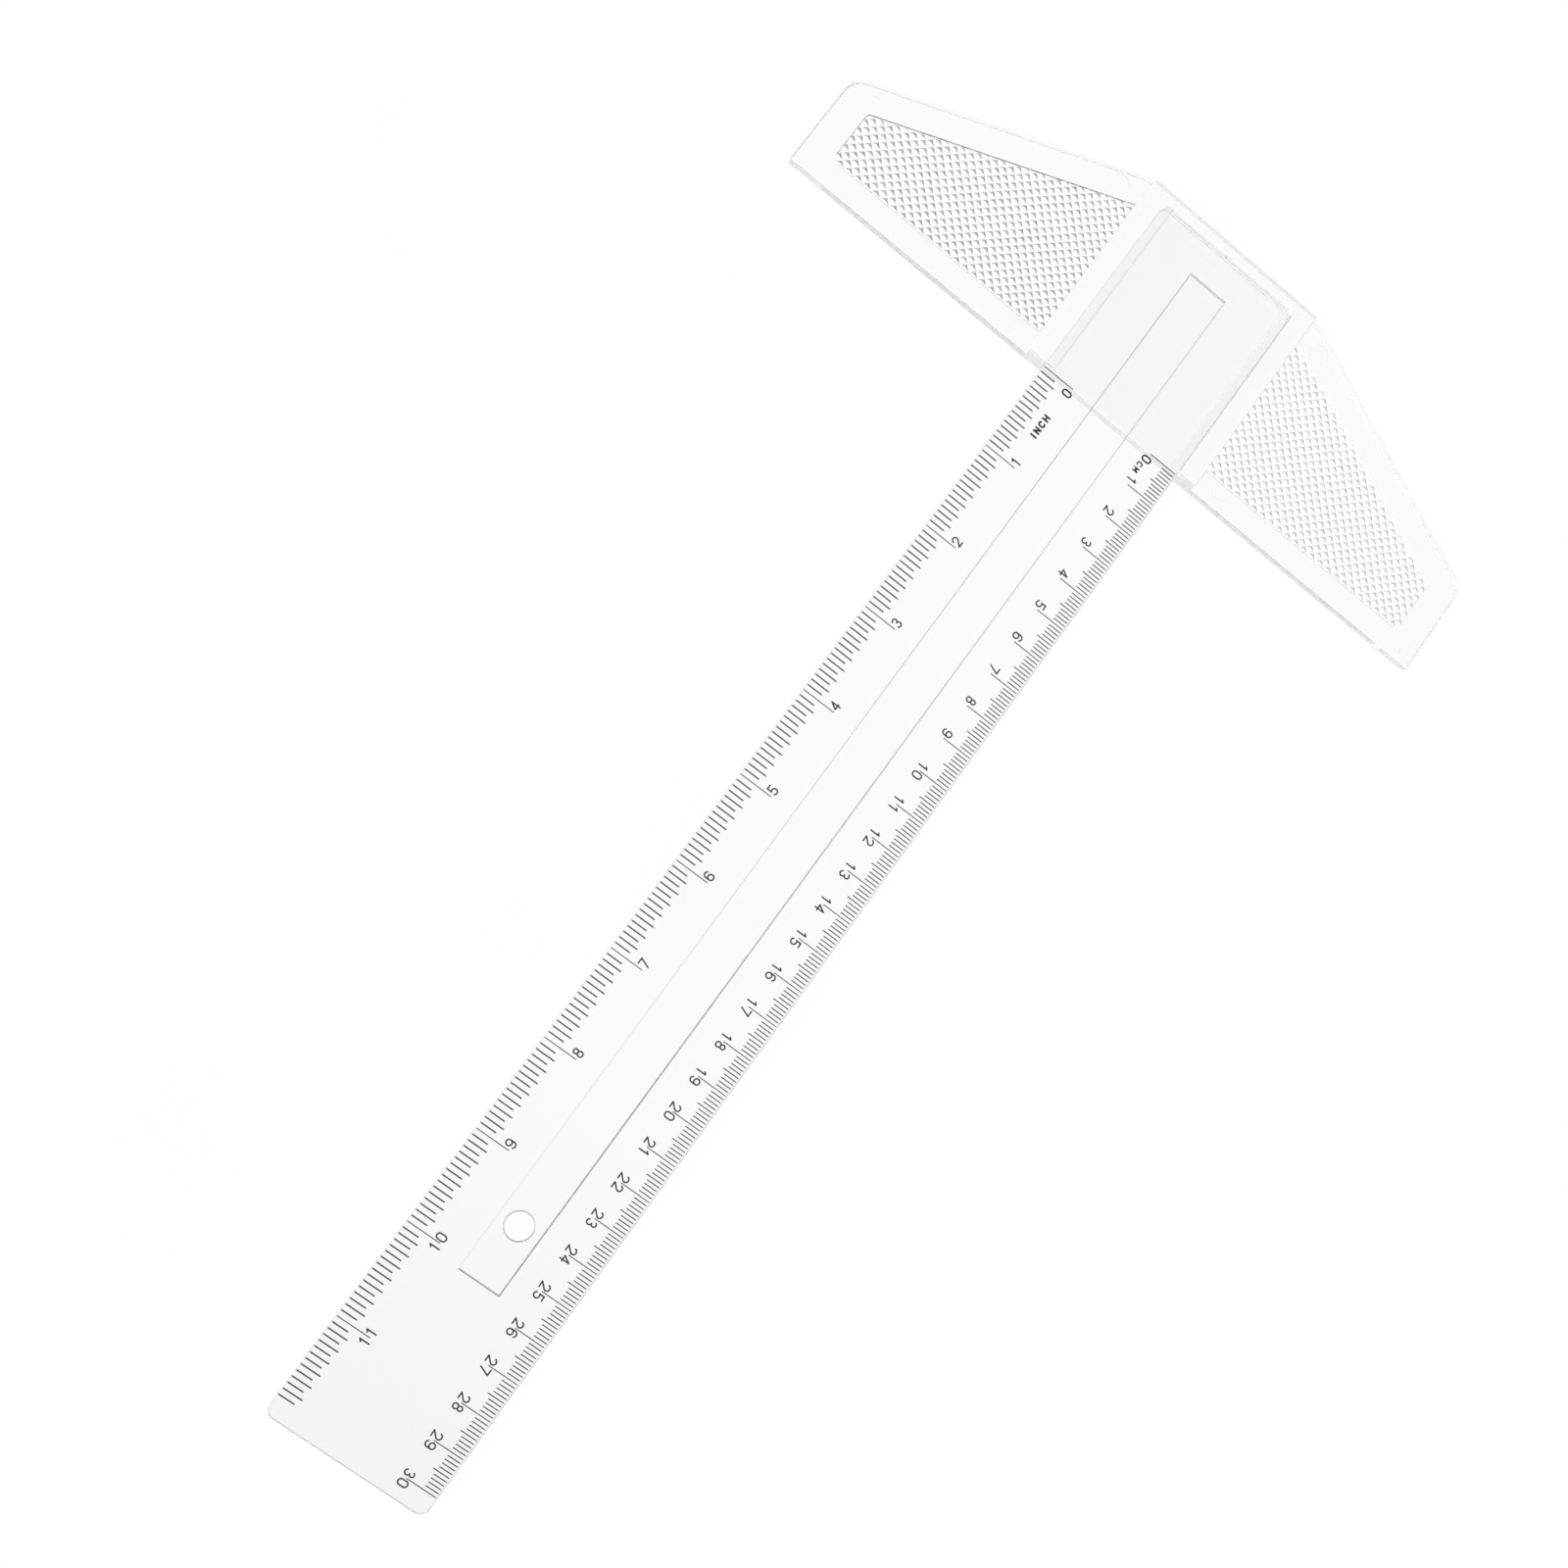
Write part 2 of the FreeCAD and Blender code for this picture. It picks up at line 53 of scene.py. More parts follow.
# Sizes of the head that its box doesn't give, as in the design.
HEAD_DEPTH = 56.9 * MM
WING_END_DEPTH = 26.6 * MM
HALF_BACK = 28.4 * MM
WING_SLOPE = (HEAD_DEPTH - WING_END_DEPTH) / (HALF_HEAD - HALF_BACK)
PLATE_TOP = 2.8 * MM
HALF_BOSS = 26.6 * MM
BOSS_CURVE = 2.6 * MM
PANEL_FLOOR = PLATE_TOP - 0.6 * MM
PANEL_INNER = HALF_BOSS + 0.3 * MM
PANEL_OUTER = HALF_HEAD - 8.0 * MM
PANEL_FRONT = 6.5 * MM
PANEL_BACK_MARGIN = 8.5 * MM
PANEL_CHAMFER = 1.5 * MM
PIN_MARK_DEPTH = 0.15 * MM

# Sizes of the blade that its box doesn't give.
HALF_GROOVE = 5.5 * MM
GROOVE_START = 43.2 * MM
HOLE_REACH = 241.0 * MM
HOLE_RADIUS = 3.4 * MM

# Grip pattern: square pyramids in rows at 45 degrees, with flat valleys between.
PYRAMID_PITCH = 1.95 * MM
VALLEY = 0.3 * MM
PATTERN_TURN = math.radians(45)
PATTERN_REACH = 60.0 * MM
PYRAMID_TOP = PLATE_TOP - 0.03 * MM
PYRAMID_ROOT = PANEL_FLOOR - 0.3 * MM
PANEL_FIT = 0.04 * MM
CUTTER_MARGIN = 1.0 * MM

# Rounded edges. Fine is the share of the width that hollows and the panels' borders get.
EDGE_ROUNDING = 0.25 * MM
BLADE_ROUNDING = 0.2 * MM
FINE_ROUNDING = 0.4
ROUNDING_STEPS = 3
SHARP = math.radians(30)
SMOOTH = math.radians(32)
FLAT = math.radians(1)
WELD = 0.001 * MM

# The blade's underside reaches this deep into the print, so that no gap shows between them.
INK_BITE = 0.01 * MM

# Where the faces with wear and with painted shade lie, and how they face: limits of a normal's part
# along an axis.
WALL_REACH = 0.2 * MM
BACK_REACH = 1.2 * MM
WING_END_REACH = 1.0 * MM
FREE_END_REACH = 1.5 * MM
FACET_TILTS = (0.75, 0.95)
UPRIGHT = 0.3
LEANING_BACK = 0.1
FACING_FRONT = -0.9
LEVEL = 0.99

# Numbers of the materials that the head's and the blade's faces wear.
CLEAR, EDGE = 0, 1
FACETS_INCH_SIDE_PAINTED_SHADE, FACETS_METRIC_SIDE_PAINTED_SHADE, GRIP_WALL_PAINTED_SHADE, BACK, FACETS_FRONT_PAINTED_LIGHT, FRONT_WALL_PAINTED_SHADE = 2, 3, 4, 5, 6, 7
GROOVE_EDGE_PAINTED_SHADE, HOLE_WALL_PAINTED_SHADE, INNER_END_PAINTED_SHADE, FREE_END, GROOVE_INCH_SIDE_PAINTED_SHADE = 2, 3, 4, 5, 6


# ---------------------------------------------------------------- meshes

def new_object(name, mesh):
    piece = bpy.data.objects.new(name, mesh)
    bpy.context.scene.collection.objects.link(piece)
    return piece


def object_from(name, bm):
    mesh = bpy.data.meshes.new(name)
    bmesh.ops.recalc_face_normals(bm, faces=bm.faces)
    bm.to_mesh(mesh)
    bm.free()
    return new_object(name, mesh)


def copy_of(node, name):
    """New piece with a CAD node's shape, each flat face in one again and its stored normals gone."""
    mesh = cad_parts[node].data.copy()
    for attribute in [a for a in mesh.attributes if a.name in ("custom_normal", "sharp_edge")]:
        mesh.attributes.remove(attribute)
    bm = bmesh.new()
    bm.from_mesh(mesh)
    bpy.data.meshes.remove(mesh)
    bmesh.ops.remove_doubles(bm, verts=bm.verts, dist=WELD)
    bmesh.ops.dissolve_limit(bm, angle_limit=FLAT, verts=bm.verts, edges=bm.edges)
    return object_from(name, bm)


def apply_modifiers(piece):
    """Keeps what the piece's modifiers give as its own mesh."""
    graph = bpy.context.evaluated_depsgraph_get()
    mesh = bpy.data.meshes.new_from_object(piece.evaluated_get(graph))
    piece.modifiers.clear()
    piece.data = mesh


def round_edges(piece, width):
    """Rounds the sharp edges, less so in hollows and round the grip panels. They wear EDGE.

    The rims of the ejector-pin marks stay sharp.
    """
    bm = bmesh.new()
    bm.from_mesh(piece.data)
    weight = bm.edges.layers.float.new("bevel_weight_edge")
    for edge in bm.edges:
        heights = [vertex.co.z for face in edge.link_faces for vertex in face.verts]
        marks = any(abs(height - PIN_MARK_DEPTH) < WELD for height in heights)
        if edge.calc_face_angle(0) < SHARP or marks:
            continue
        panel = any(abs(height - PANEL_FLOOR) < WELD for height in heights)
        edge[weight] = 1 if edge.is_convex and not panel else FINE_ROUNDING
    bm.to_mesh(piece.data)
    bm.free()
    bevel = piece.modifiers.new("rounding", "BEVEL")
    bevel.width = width
    bevel.segments = ROUNDING_STEPS
    bevel.limit_method = "WEIGHT"
    bevel.use_clamp_overlap = False
    bevel.material = EDGE
    apply_modifiers(piece)


def combine(piece, other, operation):
    """Boolean of two closed pieces. The other piece is used up."""
    boolean = piece.modifiers.new("combine", "BOOLEAN")
    boolean.operation = operation
    boolean.solver = "EXACT"
    boolean.object = other
    apply_modifiers(piece)
    bpy.data.objects.remove(other)


def smooth_shading(piece):
    for face in piece.data.polygons:
        face.use_smooth = True
    piece.data.set_sharp_from_angle(angle=SMOOTH)
    piece.modifiers.new("flat_faces", "WEIGHTED_NORMAL").keep_sharp = True


def panel_back(x):
    """Y of the grip panel's back border at x, which is parallel to the wing's slope."""
    return HEAD_DEPTH - PANEL_BACK_MARGIN - (x - HALF_BACK) * WING_SLOPE


def prism(name, corners, low, high):
    """Closed upright prism on a plan outline."""
    bm = bmesh.new()
    base = bm.faces.new([bm.verts.new((x, y, low)) for x, y in corners])
    raised = bmesh.ops.extrude_face_region(bm, geom=[base])["geom"]
    lift = [item for item in raised if isinstance(item, bmesh.types.BMVert)]
    bmesh.ops.translate(bm, verts=lift, vec=(0, 0, high - low))
    return object_from(name, bm)


def pyramid_field(name, centre):
    """Closed block whose top is rows of square pyramids with flat valleys between."""
    count = 2 * math.ceil(PATTERN_REACH / PYRAMID_PITCH)
    turn = Matrix.Rotation(PATTERN_TURN, 3, "Z")

    def place(across, along, z):
        return turn @ Vector((across, along, 0)) + Vector((*centre, z))

    steps = []
    for index in range(count):
        start = (index - count / 2) * PYRAMID_PITCH
        steps += [start + VALLEY / 2, start + PYRAMID_PITCH - VALLEY / 2]
    bm = bmesh.new()
    grid = [[bm.verts.new(place(x, y, PANEL_FLOOR)) for x in steps] for y in steps]
    for row in range(len(steps) - 1):
        for column in range(len(steps) - 1):
            foot = [grid[row][column], grid[row][column + 1],
                    grid[row + 1][column + 1], grid[row + 1][column]]
            if row % 2 or column % 2:
                bm.faces.new(foot)
                continue
            middle = [(steps[k] + steps[k + 1]) / 2 for k in (column, row)]
            tip = bm.verts.new(place(*middle, PYRAMID_TOP))
            for index in range(4):
                bm.faces.new((foot[index], foot[(index + 1) % 4], tip))
    rim = grid[0] + [line[-1] for line in grid[1:]] + grid[-1][-2::-1]
    rim += [line[0] for line in grid[-2:0:-1]]
    below = [bm.verts.new((v.co.x, v.co.y, PYRAMID_ROOT)) for v in rim]
    for index in range(len(rim)):
        after = (index + 1) % len(rim)
        bm.faces.new((rim[index], rim[after], below[after], below[index]))
    bm.faces.new(below)
    return object_from(name, bm)


def on_grip(face):
    """True for the sloping faces of the pyramids."""
    height = face.center.z
    steep, shallow = FACET_TILTS
    return PANEL_FLOOR - WELD < height < PLATE_TOP and steep < face.normal.z < shallow


def on_grip_wall(face):
    """True for the upright faces round a grip panel, and where its pyramids are cut off."""
    x, y, z = face.center
    within = PANEL_INNER - WALL_REACH < abs(x) < PANEL_OUTER + WALL_REACH
    within = within and PANEL_FRONT - WALL_REACH < y < panel_back(abs(x)) + WALL_REACH
    return within and PANEL_FLOOR < z < PLATE_TOP and abs(face.normal.z) < UPRIGHT


def on_back(face):
    """True for what lies along the head's back, its slopes and the wings' ends."""
    x, y, _ = face.center
    rim = HEAD_DEPTH - max(0, abs(x) - HALF_BACK) * WING_SLOPE
    wing_end = abs(x) > HALF_HEAD - WING_END_REACH and y > WING_END_REACH
    return wing_end or y > rim - BACK_REACH


def on_boss_curve(face):
    """True for the large rounding along the boss's back."""
    x, y, z = face.center
    on_boss = z > PLATE_TOP and abs(x) < HALF_BOSS and y > HEAD_DEPTH - BOSS_CURVE
    return on_boss and face.normal.y > LEANING_BACK


def grip_panel(side):
    """Field of pyramids cut to the outline of one wing's panel; side is 1 or -1."""
    inner = PANEL_INNER + PANEL_FIT
    outer = PANEL_OUTER - PANEL_FIT
    front = PANEL_FRONT + PANEL_FIT
    outline = [
        (inner, front),
        (outer - PANEL_CHAMFER, front),
        (outer, front + PANEL_CHAMFER),
        (outer, panel_back(outer) - PANEL_CHAMFER),
        (outer - PANEL_CHAMFER / 2, panel_back(outer) - PANEL_FIT),
        (inner, panel_back(inner) - PANEL_FIT),
    ]
    outline = [(side * x, y) for x, y in outline]
    middle = (side * (inner + outer) / 2, (front + panel_back(inner)) / 2)
    field = pyramid_field("grip", middle)
    cutter = prism("grip_outline", outline, PYRAMID_ROOT - CUTTER_MARGIN, PLATE_TOP + CUTTER_MARGIN)
    combine(field, cutter, "INTERSECT")
    return field


# ---------------------------------------------------------------- materials

CLEAR_DARK = (0.985, 0.986, 0.986)
CLEAR_LIGHT = (0.998, 0.998, 0.998)
PLASTIC_IOR = 1.5
INK_IOR = 1.45

# Share of light that passes behind the plastic, and that comes out after the most reflections.
THROUGH_TINT = 0.995
SPENT_TINT = 0.8
MOST_REFLECTIONS = 10

# Places along the blade where its painted shade and the change in its strip edges' painted shade
# begin, and the share of light that still passes at its free end, where the painted shade is
# deepest.
BLADE_SHADE_START = -0.2
GROOVE_SHADE_START = -0.04
FREE_END_SHADE = 0.94

WAVE_DEPTH = 0.2 * MM
SCRATCH_DEPTH = 0.05 * MM
SCRATCH_STRENGTH = 0.05
SCRATCH_STRETCH = (1, 0.02, 1)


def new_material(name):
    material = bpy.data.materials.new(name)
    material.use_nodes = True
    tree = material.node_tree
    tree.nodes.clear()
    return material, tree


def node(tree, kind, **settings):
    made = tree.nodes.new(kind)
    for key, setting in settings.items():
        if key in made.inputs:
            made.inputs[key].default_value = setting
        else:
            setattr(made, key, setting)
    return made


def noise(tree, scale, detail=2.0, stretch=(1, 1, 1)):
    """Noise fixed to the piece, with features 1 / scale metres across."""
    place = node(tree, "ShaderNodeTexCoord")
    mapping = node(tree, "ShaderNodeMapping", Scale=stretch)
    tree.links.new(place.outputs["Object"], mapping.inputs["Vector"])
    pattern = node(tree, "ShaderNodeTexNoise", Scale=scale, Detail=detail)
    tree.links.new(mapping.outputs["Vector"], pattern.inputs["Vector"])
    return pattern.outputs["Fac"]


def mapped(tree, value, span, results):
    """Value that runs between two results while the given one runs through its span."""
    made = node(tree, "ShaderNodeMapRange")
    keys = ("From Min", "From Max", "To Min", "To Max")
    for key, number in zip(keys, (*span, *results)):
        made.inputs[key].default_value = number
    tree.links.new(value, made.inputs["Value"])
    return made.outputs["Result"]


def tinted(tree, value, dark, light):
    """Colour between dark and light, by a value from 0 to 1."""
    blend = node(tree, "ShaderNodeMix", data_type="RGBA")
    tree.links.new(value, blend.inputs["Factor"])
    blend.inputs["A"].default_value = (*dark, 1)
    blend.inputs["B"].default_value = (*light, 1)
    return blend.outputs["Result"]


def lit_through(tree, surface):
    """Lets light through to what is behind the plastic, and out of it after many reflections."""
    path = node(tree, "ShaderNodeLightPath")
    spent = node(tree, "ShaderNodeMath", operation="GREATER_THAN")
    tree.links.new(path.outputs["Ray Depth"], spent.inputs[0])
    spent.inputs[1].default_value = MOST_REFLECTIONS
    cases = (
        (spent.outputs[0], SPENT_TINT),
        (path.outputs["Is Diffuse Ray"], THROUGH_TINT),
        (path.outputs["Is Shadow Ray"], THROUGH_TINT),
    )
    for case, tint in cases:
        through = node(tree, "ShaderNodeBsdfTransparent", Color=(tint, tint, tint, 1))
        choice = node(tree, "ShaderNodeMixShader")
        tree.links.new(case, choice.inputs["Fac"])
        tree.links.new(surface, choice.inputs[1])
        tree.links.new(through.outputs["BSDF"], choice.inputs[2])
        surface = choice.outputs["Shader"]
    return surface


def along_blade(tree, near, far, at_near, at_far):
    """Value that runs from one number to another between two places along the blade."""
    place = node(tree, "ShaderNodeTexCoord")
    along = node(tree, "ShaderNodeSeparateXYZ")
    tree.links.new(place.outputs["Object"], along.inputs["Vector"])
    return mapped(tree, along.outputs["Y"], (far, near), (at_far, at_near))


def relief(tree, waviness):
    """Normal of a moulded face: faint waves, and hairline scratches along the piece."""
    waves = node(tree, "ShaderNodeBump", Strength=waviness, Distance=WAVE_DEPTH)
    tree.links.new(noise(tree, 60, 1), waves.inputs["Height"])
    scratches = node(tree, "ShaderNodeBump", Strength=SCRATCH_STRENGTH, Distance=SCRATCH_DEPTH)
    hairs = mapped(tree, noise(tree, 900, 2, SCRATCH_STRETCH), (0.66, 0.72), (0, 1))
    tree.links.new(hairs, scratches.inputs["Height"])
    tree.links.new(waves.outputs["Normal"], scratches.inputs["Normal"])
    return scratches.outputs["Normal"]


def clear_plastic(name, waviness, end_shade=1):
    """Polished clear plastic: faint moulding waves, hairline scratches, uneven polish.

    The last argument paints shade: the colour darkens along the blade to this share of the light at
    its free end.
    """
    material, tree = new_material(name)
    output = node(tree, "ShaderNodeOutputMaterial")
    shader = node(tree, "ShaderNodeBsdfPrincipled", IOR=PLASTIC_IOR)
    shader.inputs["Transmission Weight"].default_value = 1.0
    colour = tinted(tree, noise(tree, 25, 3), CLEAR_DARK, CLEAR_LIGHT)
    # Painted shade: the colour darkens along the blade towards its free end.
    if end_shade < 1:
        dimmed = node(tree, "ShaderNodeVectorMath", operation="SCALE")
        tree.links.new(colour, dimmed.inputs[0])
        share = along_blade(tree, BLADE_SHADE_START, BLADE_LOW.y, 1, end_shade)
        tree.links.new(share, dimmed.inputs["Scale"])
        colour = dimmed.outputs["Vector"]
    tree.links.new(colour, shader.inputs["Base Color"])
    polish = mapped(tree, noise(tree, 90, 4), (0.35, 0.75), (0.0, 0.05))
    tree.links.new(polish, shader.inputs["Roughness"])
    tree.links.new(relief(tree, waviness), shader.inputs["Normal"])
    tree.links.new(lit_through(tree, shader.outputs["BSDF"]), output.inputs["Surface"])
    return material


def scuffed_and_shaded_plastic(name, grey, share, shade_ends=None):
    """The same plastic where a grey scatters a share of the light: fine scratches, and painted shade
    where dark greys stand in for shaded lines and faces.

    Both vary over the surface, between the two numbers given. The last argument gives the painted
    shade's share at the blade's two ends.
    """
    material, tree = new_material(name)
    output = node(tree, "ShaderNodeOutputMaterial")
    clear = node(tree, "ShaderNodeBsdfPrincipled", IOR=PLASTIC_IOR, Roughness=0.06)
    clear.inputs["Transmission Weight"].default_value = 1.0
    clear.inputs["Base Color"].default_value = (*CLEAR_LIGHT, 1)
    frost = node(tree, "ShaderNodeBsdfPrincipled", IOR=PLASTIC_IOR)
    dark, light = grey
    colour = tinted(tree, noise(tree, 300, 2), (dark, dark, dark), (light, light, light))
    tree.links.new(colour, frost.inputs["Base Color"])
    grain = mapped(tree, noise(tree, 2500, 2), (0.3, 0.7), (0.35, 0.6))
    tree.links.new(grain, frost.inputs["Roughness"])
    blend = node(tree, "ShaderNodeMixShader")
    scattered = mapped(tree, noise(tree, 700, 3), (0.3, 0.7), share)
    if shade_ends:
        # Painted shade whose share changes along the blade.
        painted_shade = node(tree, "ShaderNodeMath", operation="MULTIPLY")
        tree.links.new(scattered, painted_shade.inputs[0])
        tree.links.new(along_blade(tree, GROOVE_SHADE_START, BLADE_SHADE_START, *shade_ends), painted_shade.inputs[1])
        scattered = painted_shade.outputs["Value"]
    tree.links.new(scattered, blend.inputs["Fac"])
    tree.links.new(clear.outputs["BSDF"], blend.inputs[1])
    tree.links.new(frost.outputs["BSDF"], blend.inputs[2])
    tree.links.new(lit_through(tree, blend.outputs["Shader"]), output.inputs["Surface"])
    return material


def printed_ink(name, dark, light):
    """Screen-printed ink: nearly black, a little uneven in density."""
    material, tree = new_material(name)
    output = node(tree, "ShaderNodeOutputMaterial")
    shader = node(tree, "ShaderNodeBsdfPrincipled", IOR=INK_IOR)
    density = mapped(tree, noise(tree, 1800, 3), (0.35, 0.7), (0, 1))
    tree.links.new(tinted(tree, density, dark, light), shader.inputs["Base Color"])
    grain = mapped(tree, noise(tree, 4000, 2), (0.3, 0.7), (0.5, 0.75))
    tree.links.new(grain, shader.inputs["Roughness"])
    tree.links.new(shader.outputs["BSDF"], output.inputs["Surface"])
    return material


def pale_floor():
    """Plain matt paper, very slightly uneven."""
    material, tree = new_material("pale_floor")
    output = node(tree, "ShaderNodeOutputMaterial")
    shader = node(tree, "ShaderNodeBsdfPrincipled", Roughness=0.9)
    shader.inputs["Specular IOR Level"].default_value = 0.1
    shade = tinted(tree, noise(tree, 8, 3), (0.86, 0.86, 0.86), (0.88, 0.88, 0.88))
    tree.links.new(shade, shader.inputs["Base Color"])
    tree.links.new(shader.outputs["BSDF"], output.inputs["Surface"])
    return material


def wear(piece, slot, *materials):
    """Gives the piece its materials, in the order of their numbers. The slot argument is not used.
    """
    piece.data.materials.clear()
    for material in materials:
        piece.data.materials.append(material)


# ---------------------------------------------------------------- pieces

def head_face_material(face):
    """Number of the material that a face of the finished head wears.

    The walls round the grip panels wear a near-black painted shade, which the panel on the metric
    side has along its front border only.
    """
    # Frosted facets: those facing the front get a paler painted light, the rest a darker painted
    # shade, darkest on the inch side.
    if on_grip(face) and face.normal.y < 0:
        return FACETS_FRONT_PAINTED_LIGHT
    if on_grip(face):
        return FACETS_INCH_SIDE_PAINTED_SHADE if face.center.x < 0 else FACETS_METRIC_SIDE_PAINTED_SHADE
    if on_grip_wall(face):
        painted_shade = face.center.x < 0 or face.center.y < PANEL_FRONT + WALL_REACH
        return GRIP_WALL_PAINTED_SHADE if painted_shade else BACK
    # The head's front faces wear a painted shade.
    if face.normal.y < FACING_FRONT and face.center.y < EDGE_ROUNDING:
        return FRONT_WALL_PAINTED_SHADE
    # The boss's curve and the back's edges wear a lighter grey: partly wear, partly painted shade.
    if on_boss_curve(face) or (face.material_index == EDGE and on_back(face)):
        return BACK
    return face.material_index


def make_head():
    head = copy_of("head", "head_moulding")
    wear(
        head, "clear_head",
        clear_plastic("clear_head", 0.05),
        # Edge wear whose grey is also painted shade for the dark lines along the edges.
        scuffed_and_shaded_plastic("head_edges", grey=(0.72, 0.84), share=(0.55, 0.85)),
        # Painted shade on the facets that face back, darkest on the inch side.
        scuffed_and_shaded_plastic("grip_facets_inch_painted_shade", grey=(0.25, 0.5), share=(0.7, 0.9)),
        scuffed_and_shaded_plastic("grip_facets_metric_painted_shade", grey=(0.48, 0.74), share=(0.65, 0.9)),
        # Near-black painted shade on the walls round the grip panels.
        scuffed_and_shaded_plastic("grip_wall_painted_shade", grey=(0.02, 0.25), share=(0.6, 0.95)),
        # Lighter edge wear and painted shade along the back and the boss's curve.
        scuffed_and_shaded_plastic("back_edges", grey=(0.72, 0.84), share=(0.2, 0.5)),
        # Painted light: a paler grey on the facets that face the front.
        scuffed_and_shaded_plastic("grip_facets_front_painted_light", grey=(0.82, 0.93), share=(0.5, 0.8)),
        # Painted shade on the head's front face.
        scuffed_and_shaded_plastic("front_wall_painted_shade", grey=(0.55, 0.7), share=(0.5, 0.75)),
    )
    round_edges(head, EDGE_ROUNDING)
    for side in (1, -1):
        combine(head, grip_panel(side), "UNION")
    for face in head.data.polygons:
        face.material_index = head_face_material(face)
    smooth_shading(head)
    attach(head, "head")
    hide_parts("head")


def blade_face_material(face):
    """Number of the material that a face of the rounded blade wears."""
    x, y, z = face.center
    # The hanging hole's wall wears a painted shade.
    if abs(math.hypot(x, y + HOLE_REACH) - HOLE_RADIUS) < BLADE_ROUNDING:
        return HOLE_WALL_PAINTED_SHADE
    if y < BLADE_LOW.y + FREE_END_REACH and abs(face.normal.z) < LEVEL:
        return FREE_END
    if face.material_index != EDGE:
        return CLEAR
    # The strip's edges wear painted shade, a different grey on each side.
    if abs(x) < HALF_GROOVE + BLADE_ROUNDING and y < GROOVE_START + BLADE_ROUNDING:
        return GROOVE_INCH_SIDE_PAINTED_SHADE if x < BLADE_ROUNDING - HALF_GROOVE else GROOVE_EDGE_PAINTED_SHADE
    # The top edge of the blade's inner end wears a painted shade.
    if y > BLADE_HIGH.y - BLADE_ROUNDING and z > BLADE_HIGH.z - BLADE_ROUNDING:
        return INNER_END_PAINTED_SHADE
    return EDGE


def make_blade():
    blade = copy_of("blade", "blade_strip")
    wear(
        blade, "clear_blade",
        # Clear blade whose colour darkens towards the free end, a painted shade.
        clear_plastic("clear_blade", 0.03, FREE_END_SHADE),
        # Edge wear whose grey is also painted shade for the dark lines along the edges.
        scuffed_and_shaded_plastic("blade_edges", grey=(0.5, 0.68), share=(0.4, 0.7)),
        # Near-black painted shade along the strip's edges, weaker near the head.
        scuffed_and_shaded_plastic("groove_edges_painted_shade", grey=(0.06, 0.3), share=(0.7, 0.95), shade_ends=(0.3, 1)),
        # Painted shade in the hanging hole's wall and at the blade's inner end.
        scuffed_and_shaded_plastic("hole_wall_painted_shade", grey=(0.1, 0.3), share=(0.5, 0.8)),
        scuffed_and_shaded_plastic("inner_end_painted_shade", grey=(0.1, 0.3), share=(0.6, 0.9)),
        scuffed_and_shaded_plastic("free_end", grey=(0.88, 0.95), share=(0.6, 0.9)),
        # Painted shade on the strip's inch-side edge, weaker away from the head.
        scuffed_and_shaded_plastic("groove_inch_side_painted_shade", grey=(0.25, 0.5), share=(0.6, 0.9), shade_ends=(1, 0.3)),
    )
    round_edges(blade, BLADE_ROUNDING)
    for face in blade.data.polygons:
        face.material_index = blade_face_material(face)
    for vertex in blade.data.vertices:
        if vertex.co.z < BLADE_LOW.z + WELD:
            vertex.co.z -= INK_BITE
    smooth_shading(blade)
    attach(blade, "blade")
    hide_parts("blade")


def print_scales():
    """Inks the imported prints. Lines this narrow leave no shadow on the floor in soft light."""
    lines = printed_ink("graduation_ink", (0.003, 0.003, 0.004), (0.016, 0.016, 0.018))
    letters = printed_ink("numeral_ink", (0.002, 0.002, 0.003), (0.012, 0.012, 0.014))
    for name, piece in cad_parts.items():
        if name.endswith("graduations"):
            wear(piece, "graduation_ink", lines)
        elif name.endswith(("numerals", "legend")):
            wear(piece, "numeral_ink", letters)
        else:
            continue
        piece.visible_shadow = False
        piece.visible_diffuse = False


# ---------------------------------------------------------------- stage, light and camera

FLOOR_SIZE = 6.0
FLOOR_MIDDLE = (0, -0.12)
FLOOR_GAP = 0.1 * MM
KEY_FROM = (-0.5, -0.65, 0.55)
KEY_SPREAD = 25
KEY_POWER = 2.98
WALL_LEVEL = 0.18
WALL_TOP = 0.5
CEILING_LEVEL = 0.66
BACKDROP_LEVEL = 0.95
MOST_BOUNCES = 16
MOST_SEEN_THROUGH = 24

SENSOR_WIDTH = 36
FOCAL_LENGTH = 37.72
LENS_SHIFT = (-0.0453, 0.0908)
CAMERA_AT = (-0.03222, -0.19472, 0.38661)
CAMERA_TURN = (1.800, -11.292, 36.203)


def make_stage():
    bm = bmesh.new()
    bmesh.ops.create_grid(bm, x_segments=1, y_segments=1, size=FLOOR_SIZE / 2)
    bmesh.ops.translate(bm, verts=bm.verts, vec=(*FLOOR_MIDDLE, -FLOOR_GAP))
    floor = object_from("floor", bm)
    floor.data.materials.append(pale_floor())


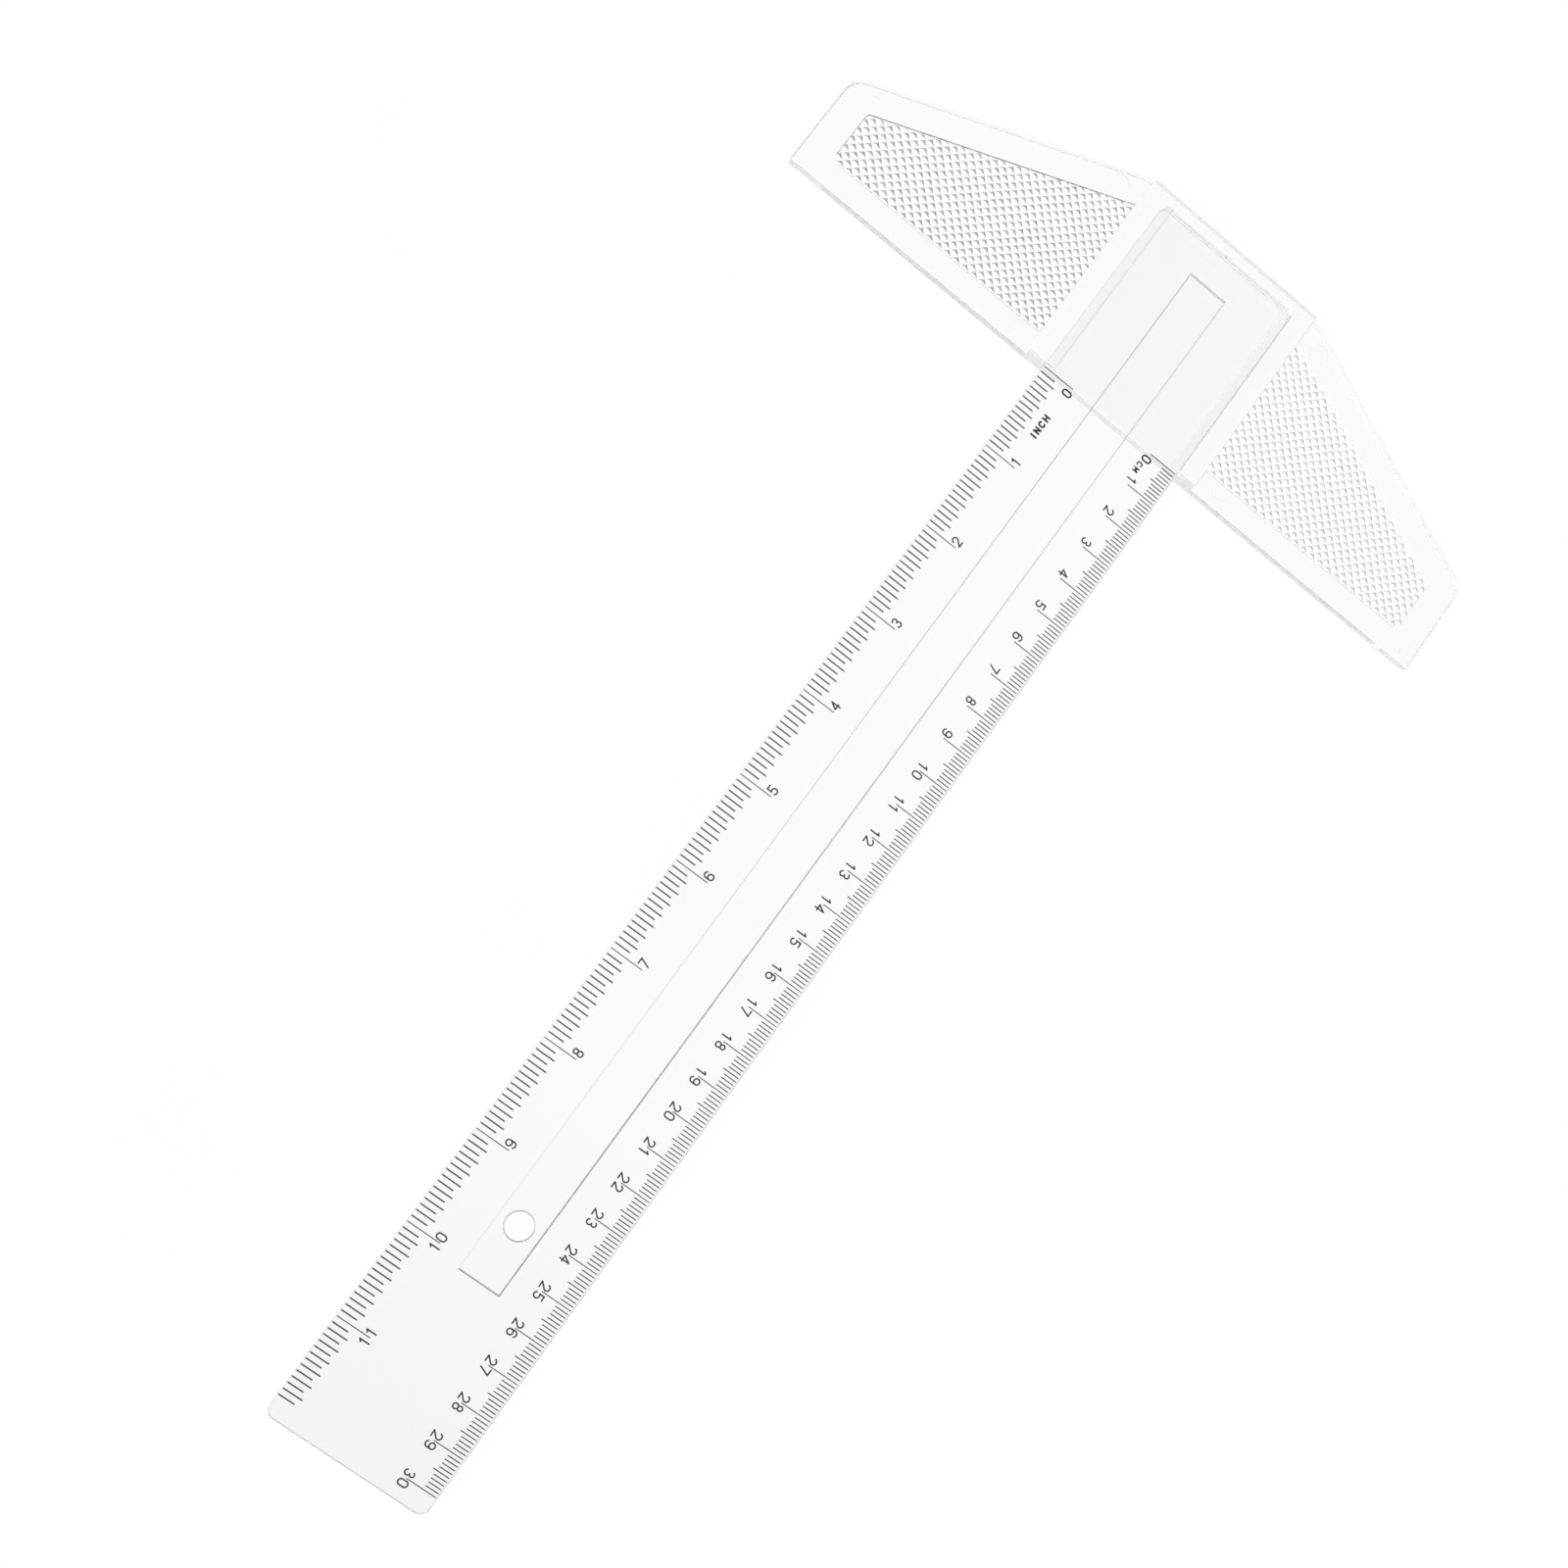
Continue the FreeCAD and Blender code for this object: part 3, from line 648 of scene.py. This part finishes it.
def make_light():
    """Soft key light from the blade's side, and a studio whose walls are dim near the floor."""
    key = bpy.data.lights.new("key", "SUN")
    key.angle = math.radians(KEY_SPREAD)
    key.energy = KEY_POWER
    lamp = bpy.data.objects.new("key", key)
    lamp.rotation_euler = Vector(KEY_FROM).to_track_quat("Z", "Y").to_euler()
    bpy.context.scene.collection.objects.link(lamp)

    world = bpy.data.worlds.new("studio")
    bpy.context.scene.world = world
    world.use_nodes = True
    tree = world.node_tree
    background = tree.nodes["Background"]
    direction = node(tree, "ShaderNodeTexCoord")
    height = node(tree, "ShaderNodeSeparateXYZ")
    tree.links.new(direction.outputs["Generated"], height.inputs["Vector"])
    level = mapped(tree, height.outputs["Z"], (0, WALL_TOP), (WALL_LEVEL, CEILING_LEVEL))
    path = node(tree, "ShaderNodeLightPath")
    seen = node(tree, "ShaderNodeMix")
    tree.links.new(path.outputs["Is Camera Ray"], seen.inputs["Factor"])
    tree.links.new(level, seen.inputs["A"])
    seen.inputs["B"].default_value = BACKDROP_LEVEL
    tree.links.new(seen.outputs["Result"], background.inputs["Strength"])
    background.inputs["Color"].default_value = (1, 1, 1, 1)
    view = bpy.context.scene.view_settings
    view.view_transform = "Standard"
    view.look = "None"


def trace_deep():
    """Light is piped along inside the plates for many reflections."""
    cycles = bpy.context.scene.cycles
    cycles.max_bounces = MOST_BOUNCES
    cycles.glossy_bounces = MOST_BOUNCES
    cycles.transmission_bounces = MOST_BOUNCES
    cycles.transparent_max_bounces = MOST_SEEN_THROUGH


def make_camera():
    """Camera above the blade, turned so that the head lies at the upper right."""
    data = bpy.data.cameras.new("camera")
    data.sensor_width = SENSOR_WIDTH
    data.lens = FOCAL_LENGTH
    data.shift_x, data.shift_y = LENS_SHIFT
    camera = bpy.data.objects.new("camera", data)
    camera.location = CAMERA_AT
    camera.rotation_euler = [math.radians(angle) for angle in CAMERA_TURN]
    bpy.context.scene.collection.objects.link(camera)
    bpy.context.scene.camera = camera


make_head()
make_blade()
print_scales()
make_stage()
make_light()
trace_deep()
make_camera()
